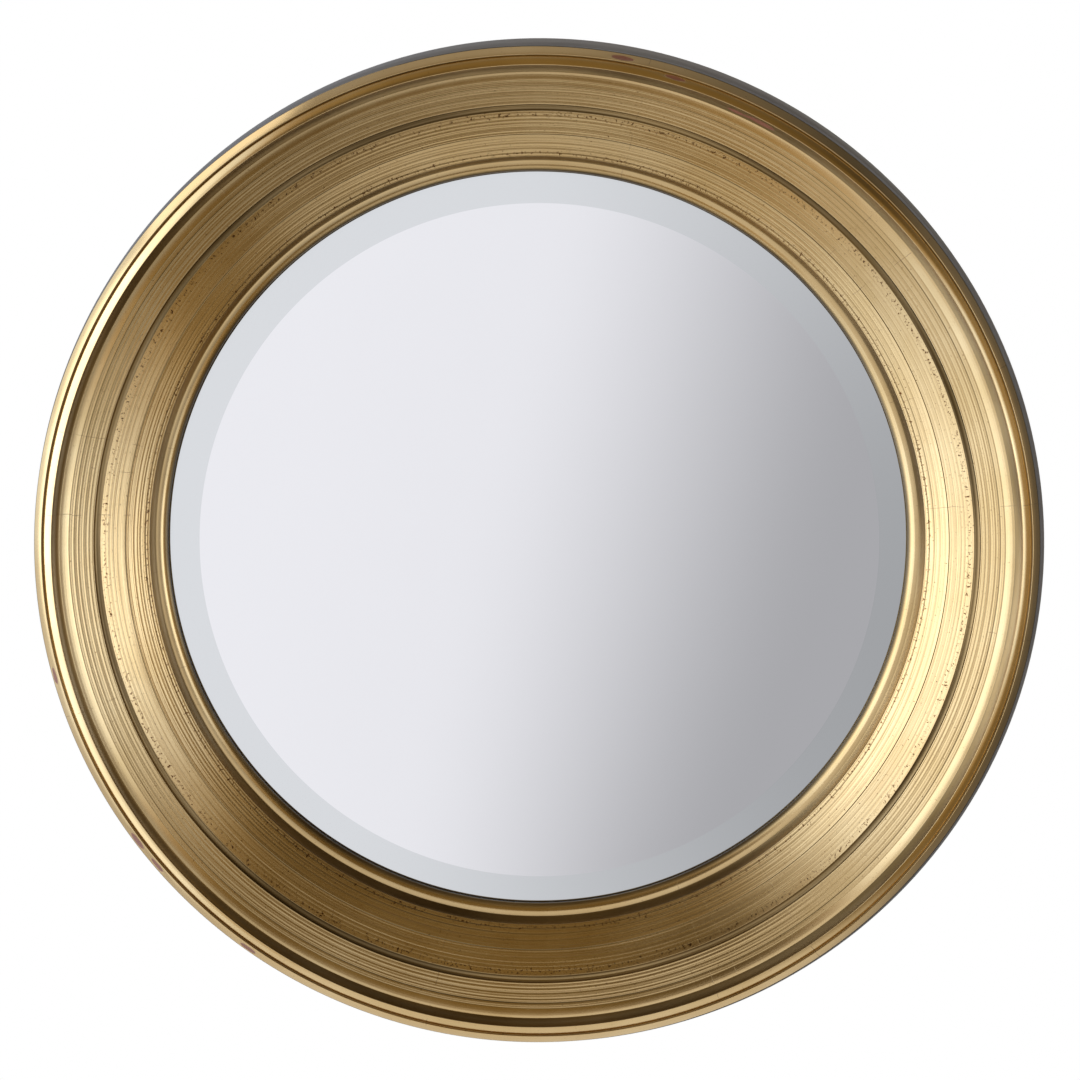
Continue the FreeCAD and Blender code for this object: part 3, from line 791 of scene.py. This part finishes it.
# %% Gilding material
LEAF = ((0.30, rgb(0.64, 0.440, 0.175)), (0.52, rgb(0.72, 0.515, 0.235)),
        (0.75, rgb(0.80, 0.60, 0.30)))
STREAK_BROWN = rgb(0.38, 0.22, 0.055)
# Wax colours, also used as painted shade in the grooves and along the inner edge.
THIN_WAX_AND_SHADE, THICK_WAX_AND_SHADE = rgb(0.20, 0.11, 0.022), rgb(0.055, 0.030, 0.008)
PIT_BROWN = rgb(0.11, 0.045, 0.012)
DARK_CLAY, PALE_CLAY = rgb(0.15, 0.04, 0.016), rgb(0.30, 0.11, 0.05)
CRACK_BROWN = rgb(0.12, 0.06, 0.025)
GILT_RELIEF = 0.035 * MM


def gilding():
    material, start, place = new_material("gilding")
    ring_place = RingPlace(place)
    soil, comb, chip = [start.node("ShaderNodeAttribute", {"attribute_name": layer}, output=2)
                        for layer in ("soil", "comb", "chip")]
    fine = ring_place.noise(2.6, 3.4, 2.0, 0.6)
    middle = ring_place.noise(5.0, 1.15, 1.0)
    cloud = place.noise(16.0, 4.0, 0.6)
    grain = place.noise(1400.0, 2.0, 0.6)

    streaked = (fine * 0.5 + middle * 0.5).rise(0.44, 0.64)
    leaf = (streaked * comb * 0.3).blend(cloud.colours(*LEAF), STREAK_BROWN)
    # Wax and painted shade darken the leaf in the grooves and along the inner edge.
    wax_and_shade = wax_and_shade_cover(ring_place, soil)
    leaf = (wax_and_shade * 0.92).blend(leaf, wax_and_shade.rise(0.45, 0.9).blend(THIN_WAX_AND_SHADE, THICK_WAX_AND_SHADE))
    pits = pitted(ring_place, comb)
    leaf = pits.blend(leaf, PIT_BROWN)

    rubs = place.noise(420.0, 3.0, 0.7).rise(0.715, 0.74)
    rubs = rubs * ring_place.noise(3.0, 0.5).rise(0.56, 0.66)
    rubbed = chip.rise(0.3, 0.55).high(rubs)
    leaf = rubbed.blend(leaf, grain.blend(DARK_CLAY, PALE_CLAY))
    crack = cracked(ring_place)
    leaf = (crack * 0.6).blend(leaf, CRACK_BROWN)

    roughness = 0.11 + 0.10 * fine * comb + 0.08 * cloud + 0.22 * wax_and_shade + 0.35 * rubbed
    height = fine * (0.25 + comb) * 0.5 + middle * comb * 0.3 + grain * 0.035 - crack * 0.5
    values = {"Base Color": leaf, "Metallic": 1 - 0.9 * rubbed, "Roughness": roughness,
              "Coat Weight": 0.5 * (1 - wax_and_shade.high(pits)), "Coat Roughness": 0.2, "Coat IOR": 2.0}
    return finish_material(material, start, values, height, GILT_RELIEF)


finishes = {"gilding": gilding()}
moulding.data.materials.append(finishes["gilding"])
print("gilding with", len(finishes["gilding"].node_tree.nodes), "nodes")

# %% [markdown]
# ## The glass
# The glass is a shallow cap bent from flat glass, silvered behind, with a bevel ground round its
# rim. Two arcs, the bevel and the rim make its outline, and a full turn makes the dish. The line
# where the bevel starts stays crisp, so the faces on its two sides keep separate normals.

# %% Spin the glass
DOME_RADIUS = 650.0
DOME_TOP = 8.8
GLASS_RADIUS = 190.0
GLASS_THICK = 5.0
BEVEL_RADIUS = 169.4
BEVEL_SLOPE = math.tan(math.radians(22.9))
EDGE_ARRIS = 0.4
GLASS_CENTRE = Vector((0.9 * MM, 0, -0.6 * MM))     # it sits a little low and to the right
DOME_CUTS = 40
GLASS_STEPS = 256
CRISP = math.radians(4)       # edges that turn more than this are not smoothed over


def dome_depth(radius, sphere):
    """Depth of a face of the glass at a radius, from the radius of the sphere it is part of."""
    return DOME_TOP + DOME_RADIUS - math.sqrt(sphere * sphere - radius * radius)


pane = bmesh.new()
back_sphere = DOME_RADIUS - GLASS_THICK
rim_radius = GLASS_RADIUS - EDGE_ARRIS
rim_depth = dome_depth(BEVEL_RADIUS, DOME_RADIUS) + (rim_radius - BEVEL_RADIUS) * BEVEL_SLOPE
corners = [(0, DOME_TOP), (BEVEL_RADIUS, dome_depth(BEVEL_RADIUS, DOME_RADIUS)),
           (rim_radius, rim_depth), (GLASS_RADIUS, rim_depth + EDGE_ARRIS),
           (GLASS_RADIUS, dome_depth(GLASS_RADIUS, back_sphere)),
           (0, dome_depth(0, back_sphere))]
chain = [pane.verts.new((r * MM, FRONT_PLANE + d * MM, 0)) for r, d in corners]
edges = [pane.edges.new(pair) for pair in zip(chain, chain[1:])]
for edge, sphere in ((edges[0], DOME_RADIUS), (edges[4], back_sphere)):
    so_far = len(pane.verts)
    bmesh.ops.bisect_edges(pane, edges=[edge], cuts=DOME_CUTS)
    pane.verts.ensure_lookup_table()
    for vertex in pane.verts[so_far:]:
        vertex.co.y = FRONT_PLANE + dome_depth(vertex.co.x / MM, sphere) * MM
full_turn(pane, GLASS_STEPS)
bmesh.ops.recalc_face_normals(pane, faces=pane.faces)
bmesh.ops.translate(pane, verts=pane.verts, vec=GLASS_CENTRE)
for edge in pane.edges:
    if edge.calc_face_angle(0) > CRISP:
        edge.smooth = False
mirror = add_piece("bevelled_glass", pane, "frame", "mirror_glass", slot="mirror_glass")

# %% [markdown]
# Silvered glass reflects almost everything, with a faint cool tint that is stronger where the glass
# is looked through at a slant, in the bevel. The silver is behind the glass, so the bevel works as
# a prism: the ray bends at the slope, turns back at the silver and bends again. Worked out for a
# glass of index 1.52, it comes back as from a mirror that leans 12.5 degrees, and not the 23 of
# the slope itself. The bevel in the photograph shows still less of a lean, as if it was ground a
# little hollow, so 2.6 degrees more come off, and the finish turns the normal to what is left. Old
# bent glass is not perfect either: a very slight waviness, a trace of dust and, at the rim, a hint
# of the silver going dark.

# %% Mirror material
GLASS_INDEX = 1.52
BEVEL_MIDDLE = BEVEL_RADIUS + 9
HOLLOW_GRINDING = math.radians(2.6)
slope = math.atan(BEVEL_SLOPE)
back_lean = math.asin(BEVEL_MIDDLE / back_sphere)
BEVEL_LEAN = slope + GLASS_INDEX * (back_lean - slope) - HOLLOW_GRINDING
BEVEL_STARTS = (BEVEL_RADIUS - 0.45, BEVEL_RADIUS - 0.02)
SILVER_DARKENS = (181.0, 190.0)
GLASS_WHITE, GLASS_GREY = rgb(0.955, 0.96, 0.985), rgb(0.935, 0.94, 0.965)
BEVEL_TINT = rgb(0.80, 0.825, 0.84)
DARK_SILVER = rgb(0.55, 0.60, 0.58)
print("the bevel mirrors like a slope of", round(math.degrees(BEVEL_LEAN), 1), "degrees")


def mirror_finish():
    material, start, place = new_material("mirror_glass")
    x, y, z = place.parts()
    x, z = x - GLASS_CENTRE.x, z - GLASS_CENTRE.z
    radius = (x * x + z * z) ** 0.5 / MM
    bevel = radius.rise(*BEVEL_STARTS)
    dust = place.noise(900.0, 4.0, 0.7).rise(0.62, 0.9)
    haze = place.noise(11.0, 3.0, 0.6)
    tint = bevel.blend(haze.blend(GLASS_WHITE, GLASS_GREY), BEVEL_TINT)
    tint = (radius.rise(*SILVER_DARKENS) * 0.25).blend(tint, DARK_SILVER)
    roughness = 0.015 + 0.03 * dust + 0.02 * haze + 0.02 * bevel
    lean = math.sin(BEVEL_LEAN) / MM
    tilted = vector(x / radius * lean, -math.cos(BEVEL_LEAN), z / radius * lean)
    facing = start.node("ShaderNodeNewGeometry", output=1)
    mixed = start.node("ShaderNodeMix", {"data_type": "VECTOR"},
                       {0: bevel, 4: facing, 5: tilted}, 1)
    waves = {"Height": place.noise(13.0, 1.0), "Distance": 0.02 * MM, "Normal": mixed}
    normal = start.node("ShaderNodeBump", None, waves)
    values = {"Base Color": tint, "Metallic": 1.0, "Roughness": roughness, "Normal": normal}
    return finish_material(material, start, values)


finishes["mirror_glass"] = mirror_finish()
mirror.data.materials.append(finishes["mirror_glass"])

# %% [markdown]
# ## The painted frame behind the moulding
# The frame is glued up from eight curved pieces of softwood. Its round side is painted dark grey
# with a brush, and the paint wraps a little way onto the back. The back itself and the rebate are
# bare wood, yellowed by age, and each segment has its own direction of grain. Boards show growth
# rings as flames and stripes, because the saw cuts the rings at a slant. So the wood here is sliced
# from slanted layers that a slow noise bends, and fine fibres run along it.

# %% Wood
RING_SLANT = (0.35, 0.6)      # how the growth rings lie across the board and through it
RING_RATE = 620.0             # the rings follow a sine, this many radians in a metre
FIBRE_BROWN = rgb(0.24, 0.13, 0.06)


def wood_colour(along, across, deep, pale, dark):
    """Growth rings cut along the grain, and fibres, from coordinates in metres."""
    bend = vector(along * 3.0, across * 13.0, deep * 13.0).noise(1.0, 3.0) * 0.11
    layers = across * RING_SLANT[0] + deep * RING_SLANT[1] + bend
    rings = (layers * RING_RATE).sine() * 0.5 + 0.5
    fibres = vector(along * 40.0, across * 1500.0, deep * 1500.0).noise(1.0, 3.0, 0.6)
    colour = rings.rise(0.1, 1.0).blend(pale, dark)
    return (fibres.rise(0.35, 0.75) * 0.35).blend(colour, FIBRE_BROWN), fibres


print("wood ready")

# %% [markdown]
# The paint lies on the outside, from a radius near the edge of the back, where a ragged line shows
# how far the brush went. Its strokes run round the frame. A few scuffs let the wood through.

# %% Paint over wood
SEGMENTS = 8
SEGMENT_TURN = 360 / SEGMENTS
FIRST_JOINT = 11.25           # clock angle of the joint where the first segment starts
PAINT_EDGE = (243.2 * MM, 244.2 * MM)
PINE, DARK_PINE = rgb(0.60, 0.42, 0.23), rgb(0.44, 0.27, 0.13)
GREY = ((0.25, rgb(0.105, 0.098, 0.092)), (0.75, rgb(0.165, 0.158, 0.150)))
BRUSHED_GREY = rgb(0.215, 0.205, 0.195)
SCUFF = rgb(0.42, 0.33, 0.23)
PAINT_RELIEF = 0.12 * MM


def painted_segment(number):
    material, start, place = new_material("grey_paint_%d" % number)
    middle = math.radians(FIRST_JOINT + SEGMENT_TURN * (number - 0.5))
    x, y, z = place.parts()
    along = x * math.cos(middle) - z * math.sin(middle)
    across = x * math.sin(middle) + z * math.cos(middle)
    wood, fibres = wood_colour(along, across, y + 0.01 * number, PINE, DARK_PINE)

    ragged = (place.noise(120.0, 3.0) - 0.5) * 3.0 * MM
    outside = ((x * x + z * z) ** 0.5 + ragged).rise(*PAINT_EDGE)
    strokes = vector(x * 30.0, y * 900.0, z * 30.0).noise(1.0, 3.0, 0.6)
    grey = place.noise(22.0, 4.0, 0.6).colours(*GREY)
    grey = (strokes.rise(0.35, 0.8) * 0.4).blend(grey, BRUSHED_GREY)
    grey = place.noise(260.0, 4.0, 0.75).rise(0.70, 0.76).blend(grey, SCUFF)

    roughness = 0.72 - 0.30 * outside + 0.15 * strokes
    height = strokes * outside * 0.6 + fibres * (1 - outside) * 0.8 + outside * 0.8
    values = {"Base Color": outside.blend(wood, grey), "Roughness": roughness,
              "Specular IOR Level": 0.45}
    return finish_material(material, start, values, height, PAINT_RELIEF)


for number in range(1, SEGMENTS + 1):
    segment = nodes["frame_segment_%d" % number]
    segment.material_slots[0].material = painted_segment(number)
print(SEGMENTS, "segments painted")

# %% [markdown]
# ## Backboard, blocks and felt
# A disc of thin plywood closes the back, with its layers showing at the edge. Short softwood blocks
# press the glass against a strip of felt, and four felt discs keep the frame off the wall. Felt is
# matt, with fine hairs and some thicker tufts.

# %% Wood and felt materials
PLY_EDGE = (203.4 * MM, 203.8 * MM)         # the layers show outside these radii
PLY_RATE, SAW_RATE = 3900.0, 5200.0         # sines of the layers and of the saw, radians a metre


def plywood():
    material, start, place = new_material("board")
    x, y, z = place.parts()
    wood, fibres = wood_colour(z, x, y * 0.2, rgb(0.52, 0.37, 0.21), rgb(0.43, 0.29, 0.15))
    stain = place.noise(9.0, 4.0, 0.65).rise(0.45, 0.75)
    colour = (stain * 0.35).blend(wood, rgb(0.27, 0.18, 0.10))
    layers = (y * PLY_RATE).sine()
    edge = ((x * x + z * z) ** 0.5).rise(*PLY_EDGE)
    colour = (edge * (layers * 0.5 + 0.5)).blend(colour, rgb(0.20, 0.12, 0.06))
    values = {"Base Color": colour, "Roughness": 0.62 + 0.2 * fibres}
    return finish_material(material, start, values, fibres + layers * edge * 0.3, 0.07 * MM)


def softwood():
    material, start, place = new_material("bare_wood")
    x, y, z = place.parts()
    wood, fibres = wood_colour(x + z, x - z, y, rgb(0.68, 0.50, 0.30), rgb(0.52, 0.34, 0.18))
    saw = (y * SAW_RATE + place.noise(300.0) * 3).sine()
    values = {"Base Color": wood, "Roughness": 0.68 + 0.2 * fibres}
    return finish_material(material, start, values, fibres + saw * 0.2, 0.08 * MM)


def pressed_felt():
    material, start, place = new_material("felt")
    hairs = place.noise(2600.0, 5.0, 0.75)
    tufts = place.noise(480.0, 3.0, 0.6)
    colour = hairs.colours((0.3, rgb(0.020, 0.019, 0.020)), (0.7, rgb(0.062, 0.058, 0.056)))
    colour = (tufts.rise(0.55, 0.8) * 0.5).blend(colour, rgb(0.11, 0.105, 0.10))
    values = {"Base Color": colour, "Roughness": 0.9 + 0.08 * hairs, "Sheen Weight": 0.5,
              "Sheen Roughness": 0.5}
    return finish_material(material, start, values, hairs * 0.7 + tufts, 0.25 * MM)


finishes["board"] = plywood()
finishes["bare_wood"] = softwood()
finishes["felt"] = pressed_felt()
print("finishes so far:", ", ".join(sorted(finishes)))

# %% [markdown]
# ## Screws, straps and rings
# The screws are plain brass gone brown in the slot, and the straps and rings are zinc-plated steel,
# which has a fine crystal pattern and picks up grey bloom.

# %% Metals


def zinc_plate():
    material, start, place = new_material("steel")
    crystals = start.node("ShaderNodeTexVoronoi", None, {"Vector": place, "Scale": 650.0})
    bloom = place.noise(140.0, 4.0, 0.65)
    colour = bloom.colours((0.3, rgb(0.60, 0.605, 0.61)), (0.7, rgb(0.44, 0.44, 0.43)))
    colour = (crystals.rise(0.1, 0.7) * 0.25).blend(colour, rgb(0.74, 0.75, 0.77))
    scratches = vector(*[p * s for p, s in zip(place.parts(), (2500.0, 300.0, 260.0))])
    fine = scratches.noise(1.0, 2.0)
    values = {"Base Color": colour, "Metallic": 1.0, "Roughness": 0.22 + 0.25 * bloom + 0.1 * fine}
    return finish_material(material, start, values, fine * 0.5 + crystals * 0.3, 0.015 * MM)


def dull_brass():
    material, start, place = new_material("brass")
    x, y, z = place.parts()
    tarnish = place.noise(210.0, 4.0, 0.65)
    colour = tarnish.colours((0.28, rgb(0.74, 0.57, 0.29)), (0.72, rgb(0.42, 0.28, 0.12)))
    turned = vector(x * 300.0, y * 3500.0, z * 300.0).noise(1.0, 1.0)
    values = {"Base Color": colour, "Metallic": 1.0,
              "Roughness": 0.24 + 0.3 * tarnish + 0.08 * turned}
    return finish_material(material, start, values, turned, 0.02 * MM)


finishes["steel"] = zinc_plate()
finishes["brass"] = dull_brass()
print(len(finishes), "finishes besides the paint")

# %% [markdown]
# The solids come with a plain material whose name says what they are made of. Each solid that still
# shows gets the finish of that name. The two that were replaced are hidden and stay as they are.

# %% Give each remaining solid its finish
dressed = 0
for name, solid in sorted(nodes.items()):
    plain = solid.material_slots[0].material.name
    if plain in finishes and not solid.hide_render:
        solid.material_slots[0].material = finishes[plain]
        dressed += 1
print(dressed, "solids dressed")
